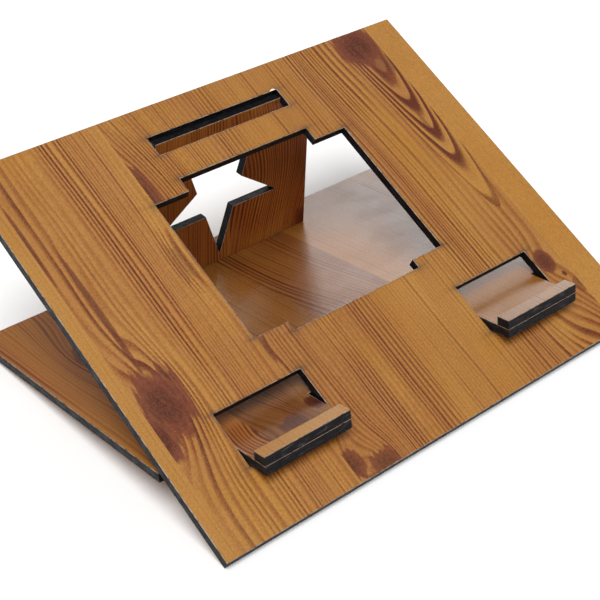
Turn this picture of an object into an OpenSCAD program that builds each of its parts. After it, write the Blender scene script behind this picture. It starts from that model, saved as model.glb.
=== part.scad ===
// Desk stand for a book, cut from one sheet of printed board.
// A sloping reading board leans on a star panel that stands in a base board.
// Two tongues of the base board come through the reading board and carry the
// book, and a glued lip on each tongue keeps the pages from sliding off.
// Frame: +X to the right, +Y to the rear, +Z up, origin on the table under the
// middle of the whole stand.

/* [Sheet] */
// Thickness of the sheet that every piece is cut from
sheet_t = 5.5; // [4:0.5:6]
// Width of the reading board and of the base board
stand_w = 300; // [280:1:340]
// Gap left between pieces that touch in use
rest_gap = 0.15; // [0.1:0.05:0.3]

/* [Reading board] */
// Height of the reading board, measured along its slope
board_h = 245.5; // [240:0.5:280]
// Slope of the reading board above the table, in degrees
board_tilt = 27.7; // [26:0.1:30]
// Height of the two ledge tops up the slope, on the board's front face
ledge_v = 45.3; // [44:0.1:48]

/* [Central opening] */
// Width of the opening across its shoulders
opening_w = 134.2; // [120:0.1:140]
// Lower shoulder of the opening, up the slope
opening_low = 92.9; // [88:0.1:96]
// Upper shoulder of the opening, up the slope
opening_high = 185.6; // [170:0.1:190]
// Width of the steps in the middle of the opening's two long sides
step_w = 89.5; // [80:0.1:94]
// Depth of the lower step
step_low_h = 5.8; // [3:0.1:8]
// Depth of the upper step
step_high_h = 9.3; // [5:0.1:12]

/* [Upper slot] */
// Length of the slot that takes the star panel's upper tab
slot_w = 91.7; // [89:0.1:96]
// Lower side of the slot, up the slope
slot_low = 213; // [208:0.1:216]
// Upper side of the slot, up the slope
slot_high = 226; // [225.9:0.1:230]

/* [Windows] */
// Width of each window that a tongue comes through
window_w = 55.8; // [55.5:0.1:60]
// Distance from the middle of the board to each window's inner side
window_inner = 55.8; // [50:0.1:60]
// Lower side of the windows, up the slope
window_low = 34.6; // [30:0.1:34.8]
// Upper side of the windows, up the slope
window_high = 67; // [66:0.1:75]

/* [Base board] */
// Length of the base board behind the ledge line
base_rear = 194.2; // [190:0.1:210]
// Distance from the ledge line back to the base board's front edge
base_front = 12.3; // [11.5:0.1:16]
// How far the tongues stand out in front of the ledge line
tongue_out = 21; // [18:0.1:24]
// Width of each tongue
tongue_w = 54.3; // [50:0.1:54.5]
// Sideways play taken up by the base board in the windows
tongue_shift = -0.4; // [-0.4:0.1:0]
// Depth of each glued lip
lip_d = 8.1; // [6:0.1:9]

/* [Star panel] */
// Distance from the ledge line back to the foot of the star panel
panel_foot = 166.5; // [166:0.1:168]
// Width of the star panel
panel_w = 134; // [126:0.1:140]
// Height of the star panel between its shoulders
panel_h = 93.7; // [93.5:0.1:94]
// Width of the star panel's two tabs
tab_w = 88.8; // [80:0.1:88.9]
// Length of the upper tab
upper_tab = 4.1; // [3.5:0.1:4.3]
// Length of the lower tab
lower_tab = 5.3; // [4.5:0.1:5.4]
// Sideways play taken up by the star panel in its slots
panel_shift = 1.2; // [0:0.1:1.2]
// Distance from the star's centre to its tips
star_r = 44.6; // [35:0.1:46]
// Height of the star's centre above the star panel's foot
star_h = 49; // [46.6:0.1:50]

/* [Hidden] */

board_color = "peru";
base_color = "sienna";
panel_color = "saddlebrown";
lip_color = "tan";
cut = 1;           // how far a cutter runs past the faces it cuts
slot_play = 0.35;  // play of the lower tab in the base board's slot

// Height and depth of the ledge line K, where the base board's top face meets
// the reading board's front face. The reading board's lowest edge is at (0, 0).
k_y = ledge_v * cos(board_tilt) - sheet_t * sin(board_tilt);
k_z = ledge_v * sin(board_tilt) + sheet_t * cos(board_tilt);

// The base board falls to the rear until its lower rear edge is on the table.
base_fall = asin(k_z / sqrt(base_rear * base_rear + sheet_t * sheet_t)) - atan(sheet_t / base_rear);
open_angle = board_tilt + base_fall;

// The star panel leans until its shoulders meet the reading board's back face.
panel_reach = panel_foot * sin(open_angle) - sheet_t;
panel_turn = acos(panel_reach / (panel_h + 2 * rest_gap));
panel_lean = board_tilt - panel_turn;
panel_skew = base_fall + panel_lean;

// Whole stand from the reading board's front edge to the rear of either board,
// which puts the origin in the middle.
front_y = -sheet_t * sin(board_tilt);
rear_y = max(k_y + base_rear * cos(base_fall), board_h * cos(board_tilt));
mid_y = (front_y + rear_y) / 2;

// The slot in the base board lies along the skewed path of the lower tab.
base_slot_low = panel_foot - slot_play;
base_slot_high = panel_foot + sheet_t / cos(panel_skew) + sheet_t * tan(panel_skew) + slot_play;

// A five-pointed star, drawn with one tip down.
star_inner = star_r * cos(72) / cos(36);
star_points = [for (i = [0:9]) (i % 2 == 0 ? star_r : star_inner) * [cos(36 * i - 90), sin(36 * i - 90)]];

// Flat outlines are drawn in X and Y and are sheet_t thick below Z = 0.
module sheet() {
  translate([0, 0, -sheet_t]) linear_extrude(height = sheet_t) children();
}

// A plain rectangle between two distances up the outline, centred on cx.
module band(w, low, high, cx = 0) {
  translate([cx - w / 2, low]) square([w, high - low]);
}

// Puts an outline on the reading board: Y runs up the slope, Z = 0 is the front face.
module on_board() {
  translate([0, front_y - mid_y, sheet_t * cos(board_tilt)]) rotate([board_tilt, 0, 0]) children();
}

// Puts an outline on the base board: Y runs back from the ledge line, Z = 0 is the top face.
module on_base() {
  translate([0, k_y - mid_y, k_z]) rotate([-base_fall, 0, 0]) children();
}

// Puts an outline on the star panel: Y runs up the panel, Z = 0 is its front face.
module on_panel() {
  on_base() translate([panel_shift, panel_foot, 0]) rotate([90 + panel_skew, 0, 0])
    translate([0, rest_gap, 0]) children();
}

module opening_outline() {
  band(opening_w, opening_low, opening_high);
  band(step_w, opening_low - step_low_h, opening_high + step_high_h);
}

module windows_outline() {
  for (side = [-1, 1]) band(window_w, window_low, window_high, side * (window_inner + window_w / 2));
}

module board_outline() {
  difference() {
    band(stand_w, 0, board_h);
    opening_outline();
    windows_outline();
    band(slot_w, slot_low, slot_high);
  }
}

module base_outline() {
  difference() {
    union() {
      band(stand_w, base_front, base_rear);
      for (side = [-1, 1]) band(tongue_w, -tongue_out, base_front + cut, tongue_x(side));
    }
    band(slot_w, base_slot_low, base_slot_high);
  }
}

module panel_outline() {
  difference() {
    union() {
      band(panel_w, 0, panel_h);
      band(tab_w, -lower_tab, panel_h + upper_tab);
    }
    translate([0, star_h]) polygon(star_points);
  }
}

// Middle of the tongue on one side
function tongue_x(side) = side * (window_inner + window_w / 2) + tongue_shift;

module reading_board() {
  color(board_color) on_board() sheet() board_outline();
}

module base_board() {
  color(base_color) on_base() sheet() base_outline();
}

module star_panel() {
  color(panel_color) on_panel() sheet() panel_outline();
}

// A glued lip, flush with the front and the sides of its tongue
module lip(side) {
  color(lip_color) on_base() translate([0, 0, sheet_t])
    sheet() band(tongue_w, -tongue_out, lip_d - tongue_out, tongue_x(side));
}

module left_lip() { lip(-1); }
module right_lip() { lip(1); }

reading_board();
base_board();
star_panel();
left_lip();
right_lip();
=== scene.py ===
import math
import random

import bmesh
import bpy
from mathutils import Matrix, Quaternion, Vector


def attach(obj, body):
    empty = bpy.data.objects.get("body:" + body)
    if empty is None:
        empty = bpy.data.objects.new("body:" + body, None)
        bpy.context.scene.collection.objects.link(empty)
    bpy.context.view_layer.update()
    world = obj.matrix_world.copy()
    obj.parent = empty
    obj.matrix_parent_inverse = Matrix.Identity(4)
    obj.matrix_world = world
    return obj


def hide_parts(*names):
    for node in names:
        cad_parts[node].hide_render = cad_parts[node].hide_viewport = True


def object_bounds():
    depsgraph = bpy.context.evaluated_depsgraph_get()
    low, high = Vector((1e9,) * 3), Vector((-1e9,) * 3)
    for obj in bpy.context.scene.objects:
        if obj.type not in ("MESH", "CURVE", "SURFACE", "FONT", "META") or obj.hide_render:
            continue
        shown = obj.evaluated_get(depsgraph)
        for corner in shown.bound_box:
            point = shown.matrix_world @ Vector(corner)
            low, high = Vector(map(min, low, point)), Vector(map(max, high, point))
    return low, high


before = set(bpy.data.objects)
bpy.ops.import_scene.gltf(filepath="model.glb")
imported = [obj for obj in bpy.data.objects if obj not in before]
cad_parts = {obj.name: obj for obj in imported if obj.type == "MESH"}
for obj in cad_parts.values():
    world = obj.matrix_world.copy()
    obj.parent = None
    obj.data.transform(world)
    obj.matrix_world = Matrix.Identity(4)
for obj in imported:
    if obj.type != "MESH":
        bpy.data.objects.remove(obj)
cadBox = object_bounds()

mmPerMetre = 1000
farAway = 999.0  # millimetres, further out than any sheet reaches

print("frame loaded:", sorted(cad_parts))


# Reading the flat outlines off the frame

def readSheet(nodeName, facing):
    # a sheet's place, its directions and its closed outlines, from the CAD node's own faces
    limits = {"weld": 1e-6, "facing": 0.5, "sameWay": 0.999, "sameLevel": 1e-5}
    digits = 5  # corners within a hundredth of a millimetre count as level with each other
    shape = bmesh.new()
    shape.from_mesh(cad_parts[nodeName].data)
    bmesh.ops.remove_doubles(shape, verts=shape.verts, dist=limits["weld"])
    shape.normal_update()
    fronts = [face for face in shape.faces if face.normal.dot(Vector(facing)) > limits["facing"]]
    normal = max(fronts, key=lambda face: face.calc_area()).normal.copy()
    across = Vector((1, 0, 0))
    along = normal.cross(across)
    level = max(vert.co.dot(normal) for vert in shape.verts)
    foot = min(vert.co.dot(along) for vert in shape.verts)
    depth = level - min(vert.co.dot(normal) for vert in shape.verts)
    top = {face for face in fronts if face.normal.dot(normal) > limits["sameWay"]
           and abs(face.verts[0].co.dot(normal) - level) < limits["sameLevel"]}
    following = {}
    for face in top:
        for corner in face.loops:
            if not any(other in top for other in corner.edge.link_faces if other is not face):
                following[corner.vert.index] = corner.link_loop_next.vert.index
    points = {vert.index: Vector((vert.co.dot(across), vert.co.dot(along) - foot)) for vert in shape.verts}
    shape.free()
    outlines = []
    while following:
        # each outline starts at its lowest corner, so that the order is the same in every run
        start = min(following, key=lambda index: tuple(round(c, digits) for c in points[index].yx))
        chain = [start]
        while following[chain[-1]] != start:
            chain.append(following[chain[-1]])
        for index in chain:
            del following[index]
        outlines.append(dropStraight([points[index] for index in chain]))
    return {"across": across, "along": along, "normal": normal, "level": level, "foot": foot,
            "depth": depth, "outlines": outlines}


def dropStraight(points):
    # leaves out the points that lie in the middle of a straight side
    leastTurn = 0.01
    kept = []
    for index, point in enumerate(points):
        before = (point - points[index - 1]).normalized()
        after = (points[(index + 1) % len(points)] - point).normalized()
        if abs(before.x * after.y - before.y * after.x) > leastTurn:
            kept.append(point)
    return kept


def sheetPoint(sheet, x, y, z=0.0):
    # a point of the sheet's own flat drawing, in the row frame
    return (sheet["across"] * x + sheet["along"] * (y + sheet["foot"])
            + sheet["normal"] * (z + sheet["level"]))


def addSteps(points, step):
    # splits the sides of a closed outline into lengths of about one step
    stepped = []
    for index, point in enumerate(points):
        side = points[(index + 1) % len(points)] - point
        count = max(1, round(side.length / step))
        stepped += [point + side * (number / count) for number in range(count)]
    return stepped


def insetPoints(points, amount, uneven=0.0, draw=None):
    # moves a closed outline into the board; the board is on the left of each directed side
    carried = 0.45  # the share of one point's slack that the next keeps
    leastSpread = 0.45  # holds back the points of sharp corners
    moved = []
    slack = 0.0
    for index, point in enumerate(points):
        before = (point - points[index - 1]).normalized()
        after = (points[(index + 1) % len(points)] - point).normalized()
        sideA = Vector((-before.y, before.x))
        sideB = Vector((-after.y, after.x))
        spread = max(1 + sideA.dot(sideB), leastSpread)
        if draw:
            slack = slack * carried + draw.uniform(-uneven, uneven)
        moved.append(point + (sideA + sideB) * ((amount + slack) / spread))
    return moved


# Meshes

def makeObject(name, shape, materials, body, replaced=()):
    mesh = bpy.data.meshes.new(name)
    shape.to_mesh(mesh)
    shape.free()
    for material in materials:
        mesh.materials.append(material)
    piece = bpy.data.objects.new(name, mesh)
    bpy.context.scene.collection.objects.link(piece)
    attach(piece, body)
    if replaced:
        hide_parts(*replaced)
    return piece


def buildSheet(name, sheet, materials, body, rim):
    # film face, narrow rim where the film is cut, charred wall, and the back film
    shape = bmesh.new()
    place = shape.loops.layers.uv.new("place")
    depth = sheet["depth"]
    draw = random.Random(rim["seed"])
    slots = {"film": 0, "char": 1, "rim": 2, "backFilm": 3}  # each finish's place in materials
    bands = (slots["rim"], slots["char"], slots["rim"])  # from the front face to the back
    frontEdges, backEdges = [], []
    wallGap = 100.0  # keeps the walls of different outlines apart in the film's millimetres
    for number, corners in enumerate(sheet["outlines"]):
        rings = []
        points = addSteps(corners, rim["step"])
        levels = ((insetPoints(points, rim["front"], rim["uneven"], draw), 0.0), (points, -rim["drop"]),
                  (points, rim["drop"] - depth), (insetPoints(points, rim["back"]), -depth))
        for ringPoints, z in levels:
            rings.append([shape.verts.new(sheetPoint(sheet, p.x, p.y, z)) for p in ringPoints])
        travelled = wallGap * number
        for index in range(len(points)):
            other = (index + 1) % len(points)
            length = (points[other] - points[index]).length * mmPerMetre
            for ring, slot in enumerate(bands):
                face = shape.faces.new((rings[ring][index], rings[ring + 1][index],
                                        rings[ring + 1][other], rings[ring][other]))
                face.material_index = slot
                depths = (levels[ring][1] * mmPerMetre, levels[ring + 1][1] * mmPerMetre)
                spots = ((travelled, depths[0]), (travelled, depths[1]),
                         (travelled + length, depths[1]), (travelled + length, depths[0]))
                for corner, spot in zip(face.loops, spots):
                    corner[place].uv = spot
            travelled += length
        frontEdges += [shape.edges.get((rings[0][i], rings[0][i - 1])) for i in range(len(points))]
        backEdges += [shape.edges.get((rings[3][i], rings[3][i - 1])) for i in range(len(points))]
    for edges, slot in ((frontEdges, slots["film"]), (backEdges, slots["backFilm"])):
        before = set(shape.faces)
        bmesh.ops.triangle_fill(shape, use_beauty=True, edges=edges)
        for face in set(shape.faces) - before:
            face.material_index = slot
            for corner in face.loops:
                spot = corner.vert.co
                corner[place].uv = (spot.dot(sheet["across"]) * mmPerMetre,
                                    (spot.dot(sheet["along"]) - sheet["foot"]) * mmPerMetre)
    bmesh.ops.recalc_face_normals(shape, faces=shape.faces)
    return makeObject(name + "_printed", shape, materials, body, (name,))


# Node helpers

def feed(tree, socket, value):
    if isinstance(value, bpy.types.NodeSocket):
        tree.links.new(value, socket)
    elif value is not None:
        socket.default_value = value


def put(tree, kind, *values, **settings):
    node = tree.nodes.new("ShaderNode" + kind)
    for key, value in settings.items():
        setattr(node, key, value)
    for socket, value in zip(node.inputs, values):
        feed(tree, socket, value)
    return node


def maths(tree, operation, *values):
    return put(tree, "Math", *values, operation=operation).outputs[0]


def vectorMaths(tree, operation, *values):
    node = put(tree, "VectorMath", *values, operation=operation)
    return node.outputs["Value" if operation == "LENGTH" else "Vector"]


def ease(tree, value, low, high, start=0.0, end=1.0):
    # a soft step: start below low, end above high
    node = put(tree, "MapRange", value, low, high, start, end, interpolation_type="SMOOTHSTEP")
    return node.outputs[0]


def blendColour(tree, amount, first, second, how="MIX"):
    node = put(tree, "Mix", data_type="RGBA", blend_type=how, clamp_factor=True)
    feed(tree, node.inputs[0], amount)
    feed(tree, node.inputs[6], first)
    feed(tree, node.inputs[7], second)
    return node.outputs[2]


def noiseAt(tree, place, seed, size, detail=2.0, roughness=0.5):
    # noise over a place in millimetres; size is in features per millimetre along x and y
    moved = put(tree, "Mapping", place, seed, (0, 0, 0), (*size, 0.0)).outputs[0]
    noise = put(tree, "TexNoise", moved, noise_dimensions="3D")
    noise.inputs["Scale"].default_value = 1.0
    noise.inputs["Detail"].default_value = detail
    noise.inputs["Roughness"].default_value = roughness
    return noise.outputs[0]


def aboutZero(tree, noise):
    # noise lies about a half; this moves it to lie about zero
    return maths(tree, "SUBTRACT", noise, 0.5)


def makeGroup(name, inputs, outputs):
    tree = bpy.data.node_groups.new(name, "ShaderNodeTree")
    for label, kind, value in inputs:
        socket = tree.interface.new_socket(label, in_out="INPUT", socket_type="NodeSocket" + kind)
        socket.default_value = value
    for label, kind in outputs:
        tree.interface.new_socket(label, in_out="OUTPUT", socket_type="NodeSocket" + kind)
    taken = tree.nodes.new("NodeGroupInput").outputs
    given = tree.nodes.new("NodeGroupOutput").inputs
    return tree, taken, given


def useGroup(tree, group, **values):
    # a group's node with its own values; a value's name is the socket's, with no spaces
    node = tree.nodes.new("ShaderNodeGroup")
    node.node_tree = group
    for socket in node.inputs:
        key = socket.name[0].lower() + socket.name[1:].replace(" ", "")
        if key in values:
            feed(tree, socket, values.pop(key))
    if values:
        raise ValueError(f"{group.name} has no socket for {sorted(values)}")
    return node


def paint(red, green, blue):
    # a colour given as it looks on screen, 0 to 255
    return tuple(((c / 255 + 0.055) / 1.055) ** 2.4 if c > 10 else c / 255 / 12.92
                 for c in (red, green, blue)) + (1.0,)


# Shared effects

def makeKnotPull():
    # adds one knot to those before it: bends the growth lines round it and gives its dark core
    look = {
        "fingers": {"size": (0.3, 0.022), "detail": 1.0, "roughness": 0.4}, "fingerGain": 3.0,
        "speckle": {"size": (0.9, 0.7), "detail": 2.0}, "speckleGain": 0.25,
        "boosted": (0.1, 0.6), "edge": (0.88, 1.1, 1.0, 0.0),
        "ripple": 0.13, "rippleGain": 1.6, "pale": (0.25, 1.0, 0.0, 0.75),
    }
    tree, taken, given = makeGroup(
        "knotPull",
        [("Place", "Vector", (0, 0, 0)), ("Centre", "Vector", (0, 0, 0)),
         ("Reach", "Vector", (10, 30, 1)), ("Pull", "Float", 8.0), ("Core", "Vector", (5, 8, 1)),
         ("Dark", "Float", 1.0), ("Ragged", "Float", 0.3), ("Boost", "Float", 0.0),
         ("From", "Float", -farAway), ("To", "Float", farAway),
         ("Pull Before", "Float", 0.0), ("Core Before", "Float", 0.0),
         ("Pale Before", "Float", 0.0), ("Boost Before", "Float", 0.0)],
        [("Pull", "Float"), ("Core", "Float"), ("Pale", "Float"), ("Boost", "Float")])
    offset = vectorMaths(tree, "SUBTRACT", taken["Place"], taken["Centre"])
    far = vectorMaths(tree, "LENGTH", vectorMaths(tree, "DIVIDE", offset, taken["Reach"]))
    hill = maths(tree, "EXPONENT", maths(tree, "MULTIPLY", maths(tree, "MULTIPLY", far, far), -1.0))
    x = put(tree, "SeparateXYZ", taken["Place"]).outputs[0]
    inside = maths(tree, "MULTIPLY", maths(tree, "GREATER_THAN", x, taken["From"]),
                   maths(tree, "LESS_THAN", x, taken["To"]))
    hill = maths(tree, "MULTIPLY", hill, inside)
    feed(tree, given["Pull"], maths(tree, "MULTIPLY_ADD", hill, taken["Pull"], taken["Pull Before"]))
    boost = maths(tree, "MULTIPLY", ease(tree, hill, *look["boosted"]), taken["Boost"])
    feed(tree, given["Boost"], maths(tree, "MAXIMUM", boost, taken["Boost Before"]))
    near = vectorMaths(tree, "LENGTH", vectorMaths(tree, "DIVIDE", offset, taken["Core"]))
    fingers = noiseAt(tree, taken["Place"], taken["Centre"], **look["fingers"])
    fingers = maths(tree, "MULTIPLY", aboutZero(tree, fingers), taken["Ragged"])
    speckle = noiseAt(tree, taken["Place"], taken["Centre"], **look["speckle"])
    speckle = maths(tree, "MULTIPLY", aboutZero(tree, speckle), look["speckleGain"])
    edge = maths(tree, "ADD", maths(tree, "MULTIPLY_ADD", fingers, look["fingerGain"], near), speckle)
    core = maths(tree, "MULTIPLY", ease(tree, edge, *look["edge"]), inside)
    core = maths(tree, "MULTIPLY", core, taken["Dark"])
    feed(tree, given["Core"], maths(tree, "MAXIMUM", core, taken["Core Before"]))
    ripple = maths(tree, "PINGPONG", maths(tree, "ADD", near, speckle), look["ripple"])
    pale = maths(tree, "MULTIPLY_ADD", ripple, look["rippleGain"], ease(tree, near, *look["pale"]))
    pale = maths(tree, "MULTIPLY", pale, core)
    feed(tree, given["Pale"], maths(tree, "MAXIMUM", pale, taken["Pale Before"]))
    return tree


def makeLoopPull():
    # replaces the pull inside a long arch by nested arches, as where a branch was cut along its length
    tree, taken, given = makeGroup(
        "loopPull",
        [("Place", "Vector", (0, 0, 0)), ("Tip", "Vector", (0, 0, 0)), ("Width", "Float", 1.5),
         ("Interval", "Float", 30.0), ("Spacing", "Float", 3.0), ("From", "Float", -farAway),
         ("To", "Float", farAway), ("Pull Before", "Float", 0.0)],
        [("Pull", "Float")])
    x, y, _ = put(tree, "SeparateXYZ", vectorMaths(tree, "SUBTRACT", taken["Place"], taken["Tip"])).outputs
    arch = maths(tree, "SUBTRACT", y, maths(tree, "DIVIDE", maths(tree, "MULTIPLY", x, x), taken["Width"]))
    across = put(tree, "SeparateXYZ", taken["Place"]).outputs[0]
    inside = maths(tree, "MULTIPLY", maths(tree, "GREATER_THAN", across, taken["From"]),
                   maths(tree, "LESS_THAN", across, taken["To"]))
    inside = maths(tree, "MULTIPLY", inside, maths(tree, "GREATER_THAN", arch, 0.0))
    rows = maths(tree, "MULTIPLY", arch, maths(tree, "DIVIDE", taken["Spacing"], taken["Interval"]))
    change = maths(tree, "SUBTRACT", maths(tree, "SUBTRACT", rows, across), taken["Pull Before"])
    feed(tree, given["Pull"], maths(tree, "MULTIPLY_ADD", change, inside, taken["Pull Before"]))
    return tree


def makeCutScorch():
    # adds one rectangular cut's smoke stain, heavier at the corners where the beam turned
    look = {
        "uneven": {"size": (0.12, 0.12), "detail": 2.0}, "edgeLeast": 0.4, "edgeGain": 0.42,
        "wisps": {"size": (0.35, 0.8), "detail": 3.0}, "wispLeast": 0.6,
        "cornerGain": 0.7, "cornerSideways": 0.5,
    }
    tree, taken, given = makeGroup(
        "cutScorch",
        [("Place", "Vector", (0, 0, 0)), ("Centre", "Vector", (0, 0, 0)),
         ("Half Size", "Vector", (10, 10, 0)), ("Edge Reach", "Float", 0.7),
         ("Corner Reach", "Float", 2.2), ("Scorch Before", "Float", 0.0)],
        [("Scorch", "Float")])
    offset = vectorMaths(tree, "ABSOLUTE", vectorMaths(tree, "SUBTRACT", taken["Place"], taken["Centre"]))
    beyond = vectorMaths(tree, "SUBTRACT", offset, taken["Half Size"])
    outside = vectorMaths(tree, "LENGTH", vectorMaths(tree, "MAXIMUM", beyond, (0, 0, 0)))
    uneven = noiseAt(tree, taken["Place"], taken["Centre"], **look["uneven"])
    reach = maths(tree, "MULTIPLY", taken["Edge Reach"], maths(tree, "ADD", uneven, look["edgeLeast"]))
    edge = maths(tree, "EXPONENT", maths(tree, "MULTIPLY", maths(tree, "DIVIDE", outside, reach), -1.0))
    split = put(tree, "SeparateXYZ", beyond).outputs
    sideways = maths(tree, "MULTIPLY", maths(tree, "ABSOLUTE", split[0]), look["cornerSideways"])
    upright = maths(tree, "ABSOLUTE", split[1])
    both = maths(tree, "DIVIDE", maths(tree, "ADD", sideways, upright), taken["Corner Reach"])
    wisps = noiseAt(tree, taken["Place"], taken["Half Size"], **look["wisps"])
    both = maths(tree, "MULTIPLY", both, maths(tree, "ADD", wisps, look["wispLeast"]))
    corner = maths(tree, "EXPONENT", maths(tree, "MULTIPLY", both, -1.0))
    corner = maths(tree, "MULTIPLY", corner, look["cornerGain"])
    stain = maths(tree, "MINIMUM", maths(tree, "MULTIPLY_ADD", edge, look["edgeGain"], corner), 1.0)
    feed(tree, given["Scorch"], maths(tree, "MAXIMUM", stain, taken["Scorch Before"]))
    return tree


def makeHandlingWear():
    # faint rubs and smears left by hands, and the film's pebbled surface, for the satin faces
    look = {
        "smear": {"size": (0.03, 0.05), "detail": 4.0, "roughness": 0.6}, "smeared": (0.4, 0.7),
        "coarse": {"size": (0.75, 0.75), "detail": 1.0}, "coarseShare": 0.7,
        "fine": {"size": (2.1, 2.1), "detail": 2.0}, "fineShare": 0.3,
    }
    tree, taken, given = makeGroup(
        "handlingWear", [("Place", "Vector", (0, 0, 0)), ("Seed", "Vector", (0, 0, 0))],
        [("Smear", "Float"), ("Pebble", "Float")])
    smear = noiseAt(tree, taken["Place"], taken["Seed"], **look["smear"])
    feed(tree, given["Smear"], ease(tree, smear, *look["smeared"]))
    coarse = noiseAt(tree, taken["Place"], taken["Seed"], **look["coarse"])
    fine = noiseAt(tree, taken["Place"], taken["Seed"], **look["fine"])
    coarse = maths(tree, "MULTIPLY", coarse, look["coarseShare"])
    fine = maths(tree, "MULTIPLY", fine, look["fineShare"])
    feed(tree, given["Pebble"], maths(tree, "ADD", coarse, fine))
    return tree


def makePineFilm():
    # the printed knotty-pine film: growth lines along y, streaks, fibres and knots
    look = {
        "gold": paint(170, 121, 57), "tan": paint(152, 99, 50), "honey": paint(165, 113, 45),
        "line": paint(112, 51, 17), "streak": paint(86, 32, 12), "knot": paint(66, 22, 10),
        "knotPale": paint(114, 56, 34), "smoke": paint(36, 20, 13), "fleck": paint(214, 178, 126),
    }
    noises = {  # sizes run across the board, then along it
        "slow": {"size": (0.011, 0.0045), "detail": 2.0},
        "quick": {"size": (0.06, 0.014), "detail": 2.0},
        "uneven": {"size": (0.07, 0.0), "detail": 1.0},
        "along": {"size": (0.05, 0.012), "detail": 3.0},
        "band": {"size": (0.035, 0.05), "detail": 2.0},
        "speck": {"size": (1.6, 0.9), "detail": 2.0, "roughness": 0.7},
        "fine": {"size": (1.3, 0.3), "detail": 2.0},
        "fibres": {"size": (1.5, 0.05), "detail": 4.0, "roughness": 0.65},
        "grit": {"size": (0.95, 0.85), "detail": 3.0, "roughness": 0.8},
        "fleck": {"size": (1.1, 1.1), "detail": 1.0},
        "tone": {"size": (0.02, 0.008), "detail": 3.0},
    }
    span = {  # where each soft step starts and ends, then its value at either end
        "rise": (0.22, 0.78), "fall": (0.86, 1.0, 1.0, 0.0), "along": (0.32, 0.62, 0.5, 1.0),
        "band": (0.36, 0.6), "ring": (0.0, 1.0, 0.5, 1.0), "banded": (0.0, 1.0, 0.6, 1.0),
        "speck": (0.3, 0.62, 0.6, 1.15), "deep": (0.55, 0.9), "fine": (0.5, 0.72),
        "tone": (0.35, 0.65), "grit": (0.45, 0.65, 0.0, 0.5), "fleck": (0.74, 0.82, 0.0, 0.4),
    }
    share = {
        "quick": 1.8, "uneven": 4.0, "along": 0.1, "tan": 0.75, "fine": 0.22, "knot": 0.93,
        "fibres": 0.3, "grit": 1.1, "lift": 0.3, "smoke": 0.92, "staveSeed": 13.7, "ringSeed": 0.37,
        "roughSmear": 0.05, "roughSmoke": 0.25, "roughFibres": 0.06, "rough": 0.3,
        "highPebble": 0.8, "highFibres": 0.25, "lowLines": 0.12,
    }
    tree, taken, given = makeGroup(
        "pineFilm",
        [("Place", "Vector", (0, 0, 0)), ("Pull", "Float", 0.0), ("Knot", "Float", 0.0),
         ("Pale", "Float", 0.0), ("Boost", "Float", 0.0), ("Scorch", "Float", 0.0),
         ("Spacing", "Float", 2.3), ("Drift", "Float", 7.0), ("Strength", "Float", 1.0),
         ("Tone", "Float", 1.0), ("Stave", "Float", 0.0), ("Tint", "Color", (1, 1, 1, 1)),
         ("Seed", "Vector", (0, 0, 0))],
        [("Color", "Color"), ("Roughness", "Float"), ("Height", "Float")])
    place = taken["Place"]
    staveSeed = maths(tree, "MULTIPLY", taken["Stave"], share["staveSeed"])
    seed = vectorMaths(tree, "ADD", taken["Seed"], put(tree, "CombineXYZ", 0.0, 0.0, staveSeed).outputs[0])
    x, y, _ = put(tree, "SeparateXYZ", place).outputs

    # the growth lines: a field that drifts and is pulled by the knots, cut into rings
    slow = aboutZero(tree, noiseAt(tree, place, seed, **noises["slow"]))
    quick = aboutZero(tree, noiseAt(tree, place, seed, **noises["quick"]))
    field = maths(tree, "ADD", x, taken["Pull"])
    slow = maths(tree, "MULTIPLY", slow, maths(tree, "MULTIPLY", taken["Drift"], 2.0))
    quick = maths(tree, "MULTIPLY", quick, share["quick"])
    field = maths(tree, "ADD", field, maths(tree, "ADD", slow, quick))
    fieldPlace = put(tree, "CombineXYZ", field, maths(tree, "MULTIPLY", y, share["along"])).outputs[0]
    uneven = aboutZero(tree, noiseAt(tree, fieldPlace, seed, **noises["uneven"]))
    phase = maths(tree, "DIVIDE", field, taken["Spacing"])
    phase = maths(tree, "ADD", phase, maths(tree, "MULTIPLY", uneven, share["uneven"]))
    part = maths(tree, "FRACT", phase)
    rise = ease(tree, part, *span["rise"])
    fall = ease(tree, part, *span["fall"])
    ring = put(tree, "TexWhiteNoise", noise_dimensions="1D")
    feed(tree, ring.inputs["W"], maths(tree, "ADD", maths(tree, "FLOOR", phase), share["ringSeed"]))
    ringStrength = ring.outputs["Value"]
    along = ease(tree, noiseAt(tree, place, seed, **noises["along"]), *span["along"])
    band = ease(tree, noiseAt(tree, fieldPlace, seed, **noises["band"]), *span["band"])
    strength = maths(tree, "MULTIPLY", taken["Strength"], along)
    strength = maths(tree, "MULTIPLY", strength, ease(tree, ringStrength, *span["ring"]))
    strength = maths(tree, "MULTIPLY", strength, ease(tree, band, *span["banded"]))
    strength = maths(tree, "MAXIMUM", strength, taken["Boost"])
    speck = noiseAt(tree, place, seed, **noises["speck"])
    strength = maths(tree, "MULTIPLY", strength, ease(tree, speck, *span["speck"]))
    lines = maths(tree, "MULTIPLY", maths(tree, "MULTIPLY", rise, fall), strength)
    deep = maths(tree, "MULTIPLY", lines, ease(tree, ringStrength, *span["deep"]))

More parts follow.
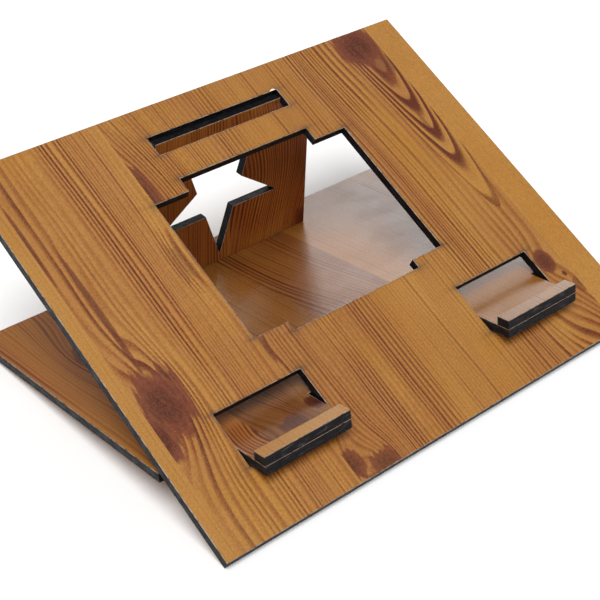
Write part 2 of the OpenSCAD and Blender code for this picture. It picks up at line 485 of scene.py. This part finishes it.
    # the colours, from the ground up
    fine = ease(tree, noiseAt(tree, fieldPlace, seed, **noises["fine"]), *span["fine"])
    fibres = noiseAt(tree, place, seed, **noises["fibres"])
    grit = noiseAt(tree, place, seed, **noises["grit"])
    fleck = noiseAt(tree, place, seed, **noises["fleck"])
    tone = noiseAt(tree, place, seed, **noises["tone"])
    colour = blendColour(tree, ease(tree, tone, *span["tone"]), look["gold"], look["honey"])
    tanned = maths(tree, "MULTIPLY", band, maths(tree, "MULTIPLY", taken["Strength"], share["tan"]))
    colour = blendColour(tree, tanned, colour, look["tan"])
    lined = maths(tree, "MULTIPLY", fine, maths(tree, "MULTIPLY", taken["Strength"], share["fine"]))
    colour = blendColour(tree, lined, colour, look["line"])
    colour = blendColour(tree, lines, colour, look["line"])
    colour = blendColour(tree, deep, colour, look["streak"])
    knotTone = blendColour(tree, taken["Pale"], look["knot"], look["knotPale"])
    knotTone = blendColour(tree, ease(tree, grit, *span["grit"]), knotTone, look["knotPale"])
    colour = blendColour(tree, maths(tree, "MULTIPLY", taken["Knot"], share["knot"]), colour, knotTone)
    lift = maths(tree, "MULTIPLY", fibres, share["fibres"])
    lift = maths(tree, "ADD", lift, maths(tree, "MULTIPLY", grit, share["grit"]))
    # Tone scales the film's lightness per stave; on the base board it also carries painted shade and
    # painted sheen
    lift = maths(tree, "MULTIPLY", maths(tree, "ADD", lift, share["lift"]), taken["Tone"])
    lifted = put(tree, "CombineColor", lift, lift, lift).outputs[0]
    colour = blendColour(tree, 1.0, colour, lifted, "MULTIPLY")
    # Tint multiplies the whole film colour; the star panel's tint is partly painted shade
    colour = blendColour(tree, 1.0, colour, taken["Tint"], "MULTIPLY")
    # pale flecks in the film colour: partly the film's own print, partly painted glints of its satin
    # surface
    colour = blendColour(tree, ease(tree, fleck, *span["fleck"]), colour, look["fleck"])
    smoked = maths(tree, "MULTIPLY", taken["Scorch"], share["smoke"])
    feed(tree, given["Color"], blendColour(tree, smoked, colour, look["smoke"]))

    # the satin surface
    wear = useGroup(tree, handlingWear, place=place, seed=seed)
    rough = maths(tree, "MULTIPLY", wear.outputs["Smear"], share["roughSmear"])
    rough = maths(tree, "ADD", rough, maths(tree, "MULTIPLY", taken["Scorch"], share["roughSmoke"]))
    rough = maths(tree, "ADD", rough, maths(tree, "MULTIPLY", fibres, share["roughFibres"]))
    feed(tree, given["Roughness"], maths(tree, "ADD", rough, share["rough"]))
    height = maths(tree, "MULTIPLY", wear.outputs["Pebble"], share["highPebble"])
    height = maths(tree, "ADD", height, maths(tree, "MULTIPLY", fibres, share["highFibres"]))
    height = maths(tree, "SUBTRACT", height, maths(tree, "MULTIPLY", lines, share["lowLines"]))
    feed(tree, given["Height"], height)
    return tree


def makeCharredCut():
    # a laser-cut wall: near-black char with fine beam lines across the sheet and a little ash
    look = {
        "char": paint(11, 10, 12), "soot": paint(25, 24, 28),
        "ash": paint(80, 79, 84), "brown": paint(44, 30, 24),
    }
    noises = {  # sizes run along the cut, then through the sheet
        "beam": {"size": (2.4, 0.12), "detail": 3.0, "roughness": 0.6},
        "cloud": {"size": (0.16, 0.3), "detail": 3.0, "roughness": 0.6},
        "fleck": {"size": (1.6, 1.8), "detail": 2.0},
        "smear": {"size": (0.11, 0.5), "detail": 3.0, "roughness": 0.55},
    }
    span = {
        "beam": (0.38, 0.66), "cloud": (0.56, 0.72, 0.0, 0.5), "fleck": (0.62, 0.74, 0.0, 0.45),
        "smear": (0.52, 0.7), "rough": (0.3, 0.7, 0.38, 0.62),
    }
    share = {"highBeam": 0.8, "highFleck": 0.5}
    tree, taken, given = makeGroup(
        "charredCut",
        [("Place", "Vector", (0, 0, 0)), ("Seed", "Vector", (0, 0, 0)), ("Ash", "Float", 0.4)],
        [("Color", "Color"), ("Roughness", "Float"), ("Height", "Float")])
    place, seed = taken["Place"], taken["Seed"]
    beam = noiseAt(tree, place, seed, **noises["beam"])
    cloud = noiseAt(tree, place, seed, **noises["cloud"])
    fleck = noiseAt(tree, place, seed, **noises["fleck"])
    colour = blendColour(tree, ease(tree, beam, *span["beam"]), look["char"], look["soot"])
    colour = blendColour(tree, ease(tree, cloud, *span["cloud"]), colour, look["brown"])
    colour = blendColour(tree, ease(tree, fleck, *span["fleck"]), colour, look["ash"])
    # the grey ash smear, scaled by Ash; the amounts given per piece, heaviest on the lit lip fronts and
    # lightest on the shaded star panel, make it partly painted light and shade
    smear = noiseAt(tree, place, seed, **noises["smear"])
    smear = maths(tree, "MULTIPLY", ease(tree, smear, *span["smear"]), taken["Ash"])
    feed(tree, given["Color"], blendColour(tree, smear, colour, look["ash"]))
    feed(tree, given["Roughness"], ease(tree, cloud, *span["rough"]))
    height = maths(tree, "MULTIPLY", beam, share["highBeam"])
    height = maths(tree, "ADD", height, maths(tree, "MULTIPLY", fleck, share["highFleck"]))
    feed(tree, given["Height"], height)
    return tree


knotPull = makeKnotPull()
loopPull = makeLoopPull()
cutScorch = makeCutScorch()
handlingWear = makeHandlingWear()
pineFilm = makePineFilm()
charredCut = makeCharredCut()
print("shared effects built:", len(bpy.data.node_groups))


# Materials

def startMaterial(name, look):
    material = bpy.data.materials.new(name)
    material.use_nodes = True
    tree = material.node_tree
    shader = tree.nodes["Principled BSDF"]
    for label, value in look.items():
        shader.inputs[label].default_value = value
    place = put(tree, "UVMap", uv_map="place").outputs[0]
    return material, tree, shader, place


def finishMaterial(tree, shader, effect, depth):
    feed(tree, shader.inputs["Base Color"], effect.outputs["Color"])
    feed(tree, shader.inputs["Roughness"], effect.outputs["Roughness"])
    bump = put(tree, "Bump")
    bump.inputs["Distance"].default_value = depth
    bump.inputs["Strength"].default_value = 1.0
    feed(tree, bump.inputs["Height"], effect.outputs["Height"])
    feed(tree, shader.inputs["Normal"], bump.outputs[0])


def byStave(tree, x, staves, key):
    # the value of key in the stave x lies in; staves are listed from left to right
    result = float(staves[0][key])
    for before, stave in zip(staves, staves[1:]):
        beyond = maths(tree, "GREATER_THAN", x, stave["from"])
        result = maths(tree, "ADD", result, maths(tree, "MULTIPLY", beyond, stave[key] - before[key]))
    return result


def staveLimits(staves, x):
    edges = [stave["from"] for stave in staves] + [farAway]
    return {"from": max(edge for edge in edges if edge <= x), "to": min(edge for edge in edges if edge > x)}


def addKnot(tree, place, knot, staves, before):
    # one knot, chained to the one before it; a knot with no core only bends and darkens the lines
    core = knot.get("core", (1, 1))
    dark = knot.get("dark", 1.0) if "core" in knot else 0.0
    node = useGroup(tree, knotPull, place=place, centre=(*knot["at"], 0), reach=(*knot["reach"], 1),
                    pull=knot.get("pull", 0), core=(*core, 1), dark=dark,
                    ragged=knot.get("ragged", 0.3), boost=knot.get("boost", 0.0),
                    **staveLimits(staves, knot["at"][0]))
    if before:
        for label in ("Pull", "Core", "Pale", "Boost"):
            feed(tree, node.inputs[label + " Before"], before.outputs[label])
    return node


def makeFilm(name, figure, cuts):
    # the film on one face: figure gives its knots and lines, cuts the openings that scorched it
    bumpDepth = 0.00009
    material, tree, shader, place = startMaterial(name, {"IOR": 1.5, "Specular IOR Level": 0.5})
    x = put(tree, "SeparateXYZ", place).outputs[0]
    staves = [dict({"tone": 1.0, "number": number}, **stave)
              for number, stave in enumerate(figure["staves"])]
    last = None
    for knot in figure["knots"]:
        last = addKnot(tree, place, knot, staves, last)
    pull = last.outputs["Pull"]
    if "loops" in figure:
        loops = figure["loops"]
        pull = useGroup(tree, loopPull, place=place, tip=(*loops["tip"], 0), width=loops["width"],
                        interval=loops["interval"], spacing=loops["spacing"], pullBefore=pull,
                        **staveLimits(staves, loops["tip"][0])).outputs["Pull"]
    scorch = 0.0
    for cut in cuts:
        scorch = useGroup(tree, cutScorch, place=place, centre=cut["centre"], halfSize=cut["halfSize"],
                          scorchBefore=scorch).outputs["Scorch"]
    perStave = {key: byStave(tree, x, staves, key) for key in ("spacing", "strength", "tone")}
    perStave["stave"] = byStave(tree, x, staves, "number")
    effect = useGroup(tree, pineFilm, place=place, drift=figure["drift"], seed=figure["seed"],
                      tint=(*figure.get("tint", (1, 1, 1)), 1), pull=pull, knot=last.outputs["Core"],
                      pale=last.outputs["Pale"], boost=last.outputs["Boost"], scorch=scorch, **perStave)
    finishMaterial(tree, shader, effect, bumpDepth)
    return material


def makeChar(name, seed, ash):
    bumpDepth = 0.00012
    material, tree, shader, place = startMaterial(name, {"IOR": 1.45, "Specular IOR Level": 0.14})
    effect = useGroup(tree, charredCut, place=place, seed=seed, ash=ash)
    finishMaterial(tree, shader, effect, bumpDepth)
    return material


def makeRim(name):
    # the film's own cut edge, a thin pale line that the beam has browned here and there
    look = {
        "pale": paint(158, 136, 116), "browned": paint(74, 50, 38), "roughness": 0.5,
        "patches": {"size": (0.22, 0.4), "detail": 4.0, "roughness": 0.65},
        "patchSeed": (3.0, 8.0, 1.0), "patched": (0.42, 0.66),
    }
    material, tree, shader, place = startMaterial(name, {"Roughness": look["roughness"]})
    patches = noiseAt(tree, place, look["patchSeed"], **look["patches"])
    colour = blendColour(tree, ease(tree, patches, *look["patched"]), look["pale"], look["browned"])
    feed(tree, shader.inputs["Base Color"], colour)
    return material


def rectangleOf(points):
    # the rectangle round an outline, in the film's millimetres
    low = Vector((min(p.x for p in points), min(p.y for p in points))) * mmPerMetre
    high = Vector((max(p.x for p in points), max(p.y for p in points))) * mmPerMetre
    return {"centre": (*((low + high) / 2), 0), "halfSize": (*((high - low) / 2), 0)}


def cutsOf(sheet):
    # every cut-out as rectangles; a stepped one is its wide part and its tall part
    outer = max(sheet["outlines"], key=lambda points: rectangleOf(points)["halfSize"][0])
    cuts = []
    for points in sheet["outlines"]:
        if points is outer:
            continue
        if len(points) <= 4:
            cuts.append(rectangleOf(points))
            continue
        levels = sorted(point.y for point in points)
        wide = [point for point in points if levels[3] <= point.y <= levels[-4]]
        sides = sorted(point.x for point in points)
        tall = [point for point in points if sides[3] <= point.x <= sides[-4]]
        cuts += [rectangleOf(wide), rectangleOf(tall)]
    return cuts


# The sheets

rim = {"front": 0.00032, "uneven": 0.00012, "back": 0.0002, "drop": 0.0002, "step": 0.0022, "seed": 11}
pieces = {
    "reading_board": {
        "body": "board", "facing": (0, 0, 1), "ash": 0.25,
        "drift": 4.0, "seed": (4.0, 9.0, 2.0),
        "loops": {"tip": (119.5, 98), "width": 2.3, "interval": 31, "spacing": 3.3},
        "staves": [
            {"from": -farAway, "strength": 0.15, "spacing": 3.0},
            {"from": -142, "strength": 0.75, "spacing": 3.3, "tone": 1.04},
            {"from": -67, "strength": 0.95, "spacing": 2.5},
            {"from": -4, "strength": 0.55, "spacing": 2.2},
            {"from": 60, "strength": 0.95, "spacing": 3.3},
            {"from": 129.5, "strength": 0.08, "spacing": 3.0},
        ],
        "knots": [
            {"at": (-112, 120), "reach": (30, 500), "pull": -17},
            {"at": (-130, 82), "reach": (22, 34), "pull": -8, "core": (14, 18),
             "ragged": 0.45, "boost": 0.9},
            {"at": (-120, 93), "reach": (9, 30), "core": (5, 12), "ragged": 0.7, "dark": 0.9},
            {"at": (-141, 66), "reach": (9, 16), "pull": -4, "core": (8, 14), "ragged": 0.5},
            {"at": (-130, 140), "reach": (4, 60), "pull": 2, "core": (1.7, 42),
             "dark": 0.85, "ragged": 0.12},
            {"at": (-141, 190), "reach": (3, 40), "pull": 1, "core": (1.3, 26), "dark": 0.8, "ragged": 0.1},
            {"at": (-98, 190), "reach": (9, 110), "boost": 1.0},
            {"at": (-104, 40), "reach": (26, 60), "boost": 0.6},
            {"at": (-74, 150), "reach": (9, 22), "pull": 3, "core": (5, 13), "dark": 0.32,
             "ragged": 0.9, "boost": 0.8},
            {"at": (-58, 184), "reach": (24, 50), "pull": -11, "boost": 0.9},
            {"at": (-66, 197), "reach": (5, 20), "pull": -2, "core": (4.5, 15),
             "dark": 0.85, "ragged": 0.4},
            {"at": (-64.5, 84), "reach": (4, 14), "pull": 2, "core": (1.2, 9), "dark": 0.8, "ragged": 0.1},
            {"at": (-65, 10), "reach": (9, 16), "pull": 6, "core": (5.5, 9), "dark": 0.9, "ragged": 0.4},
            {"at": (-48, 2), "reach": (14, 18), "pull": -9, "core": (9, 9), "dark": 0.85, "ragged": 0.5},
            {"at": (98, 150), "reach": (30, 500), "pull": 17},
            {"at": (84, 245), "reach": (24, 62), "pull": 9, "boost": 0.9},
            {"at": (115.5, 233), "reach": (4, 4), "core": (15, 15.5), "ragged": 0.3},
            {"at": (123, 215), "reach": (6, 9), "core": (8, 8), "dark": 0.55, "ragged": 0.6},
            {"at": (118, 200), "reach": (14, 70), "boost": 1.15},
            {"at": (117, 214), "reach": (4, 9), "core": (3, 15), "dark": 0.6, "ragged": 0.25},
            {"at": (118, 166), "reach": (4, 9), "core": (1.6, 10), "dark": 0.5, "ragged": 0.15},
            {"at": (118.5, 56), "reach": (8, 14), "pull": 3, "core": (6.2, 8.4), "ragged": 0.05},
            {"at": (124.3, 44), "reach": (3, 5), "core": (1.5, 2.0), "ragged": 0.1},
            {"at": (128, 34), "reach": (10, 14), "core": (4, 6), "dark": 0.6},
            {"at": (116, -22), "reach": (28, 44), "pull": -20, "boost": 0.9},
            {"at": (78, 70), "reach": (14, 60), "boost": 0.75},
        ],
    },
    "base_board": {
        "body": "base", "facing": (0, 0, 1), "ash": 0.3,
        "drift": 6.0, "seed": (17.0, 3.0, 5.0), "tint": (0.97, 0.84, 0.72),
        "staves": [
            # the tone of about 0.56 on the staves from x -96 to 50 darkens the middle of the base, which
            # lies in the reading board's shade: partly the film's own darker staves, partly painted shade;
            # the lighter left strip and the stave from x 50 partly stand in for painted sheen
            {"from": -farAway, "strength": 0.8, "spacing": 2.6, "tone": 0.9},
            {"from": -96, "strength": 1.0, "spacing": 2.3, "tone": 0.56},
            {"from": -56, "strength": 0.45, "spacing": 2.3, "tone": 0.57},
            {"from": -2, "strength": 1.0, "spacing": 2.5, "tone": 0.56},
            {"from": 50, "strength": 0.2, "spacing": 2.2, "tone": 0.66},
            {"from": 128, "strength": 0.8, "spacing": 2.5, "tone": 0.9},
        ],
        "knots": [
            {"at": (-79, 19), "reach": (14, 20), "pull": -8, "core": (8, 6), "dark": 0.8, "ragged": 0.5},
            {"at": (-58, 25), "reach": (10, 14), "pull": 8, "core": (7, 6), "ragged": 0.3},
            {"at": (26, 60), "reach": (34, 70), "pull": -13},
            {"at": (-118, 150), "reach": (16, 40), "pull": 14, "core": (6, 12), "dark": 0.8, "ragged": 0.4},
            {"at": (-100, 22), "reach": (18, 16), "pull": 6, "boost": 1.3},
        ],
    },
    "star_panel": {
        "body": "panel", "facing": (0, -1, 0), "ash": 0.1,
        # the tint makes the star panel's film redder and darker: partly the panel's own redder film, partly
        # painted shade for the warm light bounced between the boards onto the shaded panel
        "drift": 3.0, "seed": (6.0, 21.0, 8.0), "tint": (1.0, 0.74, 0.56),
        "staves": [
            {"from": -farAway, "strength": 0.8, "spacing": 1.8},
            {"from": 9, "strength": 1.3, "spacing": 2.3, "tone": 1.05},
        ],
        "knots": [
            {"at": (67, 9), "reach": (14, 34), "pull": 12, "core": (6, 9), "ragged": 0.3},
            {"at": (34, 56), "reach": (30, 40), "pull": -12, "boost": 1.7},
            {"at": (-52, 20), "reach": (14, 30), "pull": 5, "core": (3, 5), "dark": 0.6},
        ],
    },
    "left_lip": {
        "body": "base", "facing": (0, 0, 1), "ash": 0.55,
        "drift": 6.0, "seed": (30.0, 12.0, 4.0),
        "staves": [{"from": -farAway, "strength": 0.15, "spacing": 3.0, "tone": 0.94}],
        "knots": [{"at": (-80, 4), "reach": (14, 20), "pull": 3}],
    },
    "right_lip": {
        "body": "base", "facing": (0, 0, 1), "ash": 0.4,
        "drift": 5.0, "seed": (12.0, 40.0, 6.0),
        "staves": [{"from": -farAway, "strength": 0.7, "spacing": 1.7, "tone": 0.62}],
        "knots": [{"at": (86, 4), "reach": (14, 20), "pull": 3}],
    },
}
backFigure = {
    "drift": 8.0,
    "staves": [
        {"from": -farAway, "strength": 0.5, "spacing": 2.6},
        {"from": -110, "strength": 1.0, "spacing": 2.4},
        {"from": -40, "strength": 0.4, "spacing": 2.2},
        {"from": 28, "strength": 0.9, "spacing": 2.5},
        {"from": 98, "strength": 0.7, "spacing": 2.3},
    ],
    "knots": [
        {"at": (-74, 60), "reach": (18, 34), "pull": 16, "core": (9, 11), "ragged": 0.3},
        {"at": (66, 150), "reach": (14, 44), "pull": -18, "core": (6, 9), "ragged": 0.3},
        {"at": (-122, 205), "reach": (12, 20), "pull": 8, "core": (4, 5), "ragged": 0.2},
        {"at": (8, 20), "reach": (10, 24), "pull": -9, "core": (3, 4), "dark": 0.8},
        {"at": (126, 60), "reach": (10, 24), "pull": 9, "core": (5, 7), "dark": 0.9},
    ],
}

sheets = {}
filmRim = makeRim("filmRim")
for number, (name, piece) in enumerate(pieces.items()):
    sheet = readSheet(name, piece["facing"])
    sheets[name] = sheet
    cuts = cutsOf(sheet) if name != "star_panel" else []  # the star panel's film has no stains
    backSeed = (51.0 + 7 * number, 33.0, 9.0)
    charSeed = (2.0 + 5 * number, 7.0, 1.0)
    front = makeFilm(name + "Film", piece, cuts)
    back = makeFilm(name + "BackFilm", dict(backFigure, seed=backSeed), [])
    # each piece's ash amount is partly painted light and shade: more grey smear on the lit lip fronts, less
    # on the shaded star panel
    char = makeChar(name + "Char", charSeed, piece["ash"])
    buildSheet(name, sheet, (front, char, filmRim, back), piece["body"], rim)
    thick = round(sheet["depth"] * mmPerMetre, 2)
    print(name, "built,", len(sheet["outlines"]), "outlines,", thick, "mm thick")


# A chip of bare paper at the corner of the upper slot

def buildSlotChip():
    chip = {
        "length": 0.0044, "height": 0.0011, "inFromEnd": 0.0006, "above": 0.00004, "thick": 0.00012,
        "points": 10, "fullness": 0.6, "leastHeight": 0.75, "onRim": 0.4, "seed": 5,
        "pale": paint(250, 244, 232), "browned": paint(214, 190, 160), "roughness": 0.8,
        "mottle": {"size": (1.2, 1.2), "detail": 3.0}, "mottleSeed": (1.0, 2.0, 3.0), "mottled": (0.4, 0.7),
    }
    sheet = sheets["reading_board"]
    slot = max(sheet["outlines"], key=lambda points: min(point.y for point in points))
    right = max(point.x for point in slot) - chip["inFromEnd"]
    edge = max(point.y for point in slot) + rim["front"] * chip["onRim"]
    draw = random.Random(chip["seed"])
    upper = []
    for index in range(chip["points"]):
        share = index / (chip["points"] - 1)
        torn = chip["leastHeight"] + (1 - chip["leastHeight"]) * draw.random()
        bulge = math.sin(math.pi * share) ** chip["fullness"] * torn
        upper.append((right - chip["length"] * share, edge + chip["height"] * bulge))
    shape = bmesh.new()
    top = [shape.verts.new(sheetPoint(sheet, x, y, chip["above"])) for x, y in upper]
    low = [shape.verts.new(sheetPoint(sheet, x, y, chip["above"] - chip["thick"])) for x, y in upper]
    shape.faces.new(top)
    shape.faces.new(low[::-1])
    for index in range(len(top)):
        other = (index + 1) % len(top)
        shape.faces.new((top[index], low[index], low[other], top[other]))
    bmesh.ops.recalc_face_normals(shape, faces=shape.faces)
    material = bpy.data.materials.new("barePaper")
    material.use_nodes = True
    tree = material.node_tree
    shader = tree.nodes["Principled BSDF"]
    shader.inputs["Roughness"].default_value = chip["roughness"]
    place = vectorMaths(tree, "SCALE", put(tree, "TexCoord").outputs["Object"])
    place.node.inputs["Scale"].default_value = mmPerMetre
    mottle = noiseAt(tree, place, chip["mottleSeed"], **chip["mottle"])
    colour = blendColour(tree, ease(tree, mottle, *chip["mottled"]), chip["pale"], chip["browned"])
    feed(tree, shader.inputs["Base Color"], colour)
    makeObject("slot_chip", shape, (material,), "board")
    print("slot chip built")


buildSlotChip()


# Studio

def buildStudio():
    studio = {
        "floorSize": 30.0, "floorColour": (0.92, 0.92, 0.92, 1), "floorRoughness": 0.9,
        "worldLight": 0.26, "worldSeen": 1.0,
    }
    mesh = bpy.data.meshes.new("floor")
    half = studio["floorSize"] / 2
    corners = [(-half, -half, 0), (half, -half, 0), (half, half, 0), (-half, half, 0)]
    mesh.from_pydata(corners, [], [(0, 1, 2, 3)])
    floor = bpy.data.objects.new("floor", mesh)
    bpy.context.scene.collection.objects.link(floor)
    material = bpy.data.materials.new("floorPaper")
    material.use_nodes = True
    shader = material.node_tree.nodes["Principled BSDF"]
    shader.inputs["Base Color"].default_value = studio["floorColour"]
    shader.inputs["Roughness"].default_value = studio["floorRoughness"]
    mesh.materials.append(material)

    # the world lights softly, and looks white to the camera
    world = bpy.data.worlds.new("studio")
    bpy.context.scene.world = world
    world.use_nodes = True
    tree = world.node_tree
    tree.nodes.clear()
    seen = put(tree, "LightPath").outputs["Is Camera Ray"]
    strength = put(tree, "MapRange", seen, 0.0, 1.0, studio["worldLight"], studio["worldSeen"]).outputs[0]
    back = put(tree, "Background", (1, 1, 1, 1), strength)
    ending = put(tree, "OutputWorld")
    tree.links.new(back.outputs[0], ending.inputs[0])


def directionTo(azimuth, elevation):
    # the way from the stand to a place round it; azimuth 0 is in front, 90 to the right
    turn = math.radians(azimuth)
    lift = math.radians(elevation)
    return Vector((math.sin(turn) * math.cos(lift), -math.cos(turn) * math.cos(lift), math.sin(lift)))


def addTurned(name, data, away, roll=0.0):
    # a light or camera that looks back along away
    thing = bpy.data.objects.new(name, data)
    thing.rotation_mode = "QUATERNION"
    thing.rotation_quaternion = away.to_track_quat("Z", "Y") @ Quaternion((0, 0, 1), math.radians(roll))
    bpy.context.scene.collection.objects.link(thing)
    return thing


def addSoftbox(name, aim, azimuth, elevation, distance, size, power):
    away = directionTo(azimuth, elevation)
    data = bpy.data.lights.new(name, "AREA")
    data.shape = "RECTANGLE"
    data.size, data.size_y = size
    data.energy = power
    light = addTurned(name, data, away)
    light.location = aim + away * distance


def addSun(name, azimuth, elevation, spread, strength):
    # the wide main light; spread is how wide it looks in the sky, in degrees
    data = bpy.data.lights.new(name, "SUN")
    data.angle = math.radians(spread)
    data.energy = strength
    addTurned(name, data, directionTo(azimuth, elevation))


def placeCamera():
    view = {"aim": (-0.0127, -0.0052, 0.0322), "azimuth": -38.974, "elevation": 34.139,
            "distance": 0.74104, "roll": -1.626, "lens": 80.50, "sensor": 36.0}
    away = directionTo(view["azimuth"], view["elevation"])
    data = bpy.data.cameras.new("camera")
    data.lens = view["lens"]
    data.sensor_width = view["sensor"]
    camera = addTurned("camera", data, away, view["roll"])
    camera.location = Vector(view["aim"]) + away * view["distance"]
    bpy.context.scene.camera = camera


lamps = {
    "keySun": {"azimuth": -40, "elevation": 64, "spread": 42, "strength": 3.15},
    "rearBox": {"azimuth": 131, "elevation": 20, "distance": 1.6, "size": (0.85, 0.6), "power": 6.8},
}
middle = (cadBox[0] + cadBox[1]) / 2
placeCamera()
buildStudio()
addSun("keySun", **lamps["keySun"])
addSoftbox("rearBox", middle, **lamps["rearBox"])
bpy.context.scene.view_settings.view_transform = "Standard"
print("studio built")
